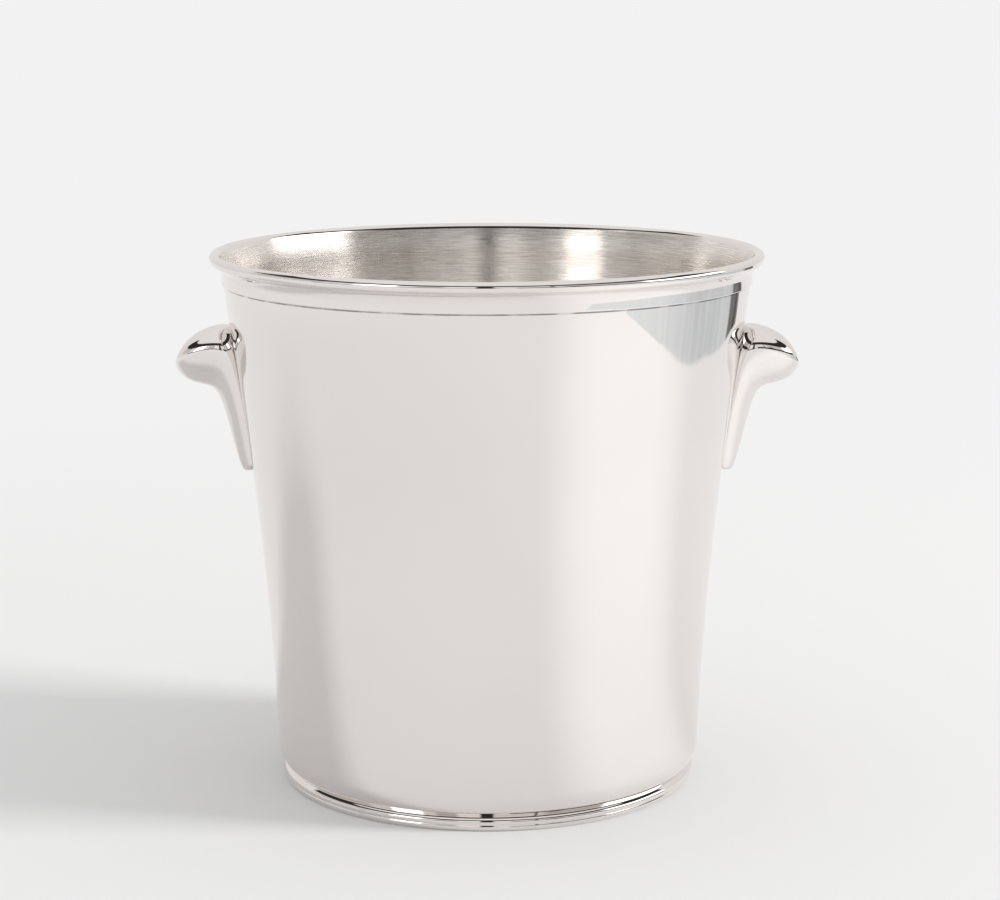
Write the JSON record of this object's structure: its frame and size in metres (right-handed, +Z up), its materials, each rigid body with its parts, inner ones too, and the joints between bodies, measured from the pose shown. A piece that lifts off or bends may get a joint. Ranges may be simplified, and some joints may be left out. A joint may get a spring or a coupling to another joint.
{
  "type": "champagne bucket",
  "caption": "Flared round metal bucket for chilling a bottle in ice, with a beaded rim, a moulded foot ring and a solid ear handle on each side.",
  "frame": {"origin": "centre of the plane that the foot ring rests on", "axes": "+Z up along the bucket's axis, +X from the left handle to the right handle, -Y towards the viewer"},
  "size_m": [0.2484, 0.2186, 0.212],
  "materials": {
    "bowl_steel": "spun sheet steel, mirror polished outside, satin brushed round the inside",
    "polished_trim": "mirror polished moulding",
    "cast_handles": "mirror polished casting",
    "core_wire": "plain drawn wire",
    "fixing_steel": "machined stainless steel",
    "seal_rubber": "matt black rubber"
  },
  "bodies": {
    "root": {"body": "bowl_steel", "rim_band": "polished_trim", "rim_wire": "core_wire", "foot_ring": "polished_trim", "left_handle": "cast_handles", "right_handle": "cast_handles", "left_upper_screw": "fixing_steel", "left_lower_screw": "fixing_steel", "right_upper_screw": "fixing_steel", "right_lower_screw": "fixing_steel", "left_upper_washer": "fixing_steel", "left_lower_washer": "fixing_steel", "right_upper_washer": "fixing_steel", "right_lower_washer": "fixing_steel", "left_upper_seal": "seal_rubber", "left_lower_seal": "seal_rubber", "right_upper_seal": "seal_rubber", "right_lower_seal": "seal_rubber"}
  },
  "joints": []
}
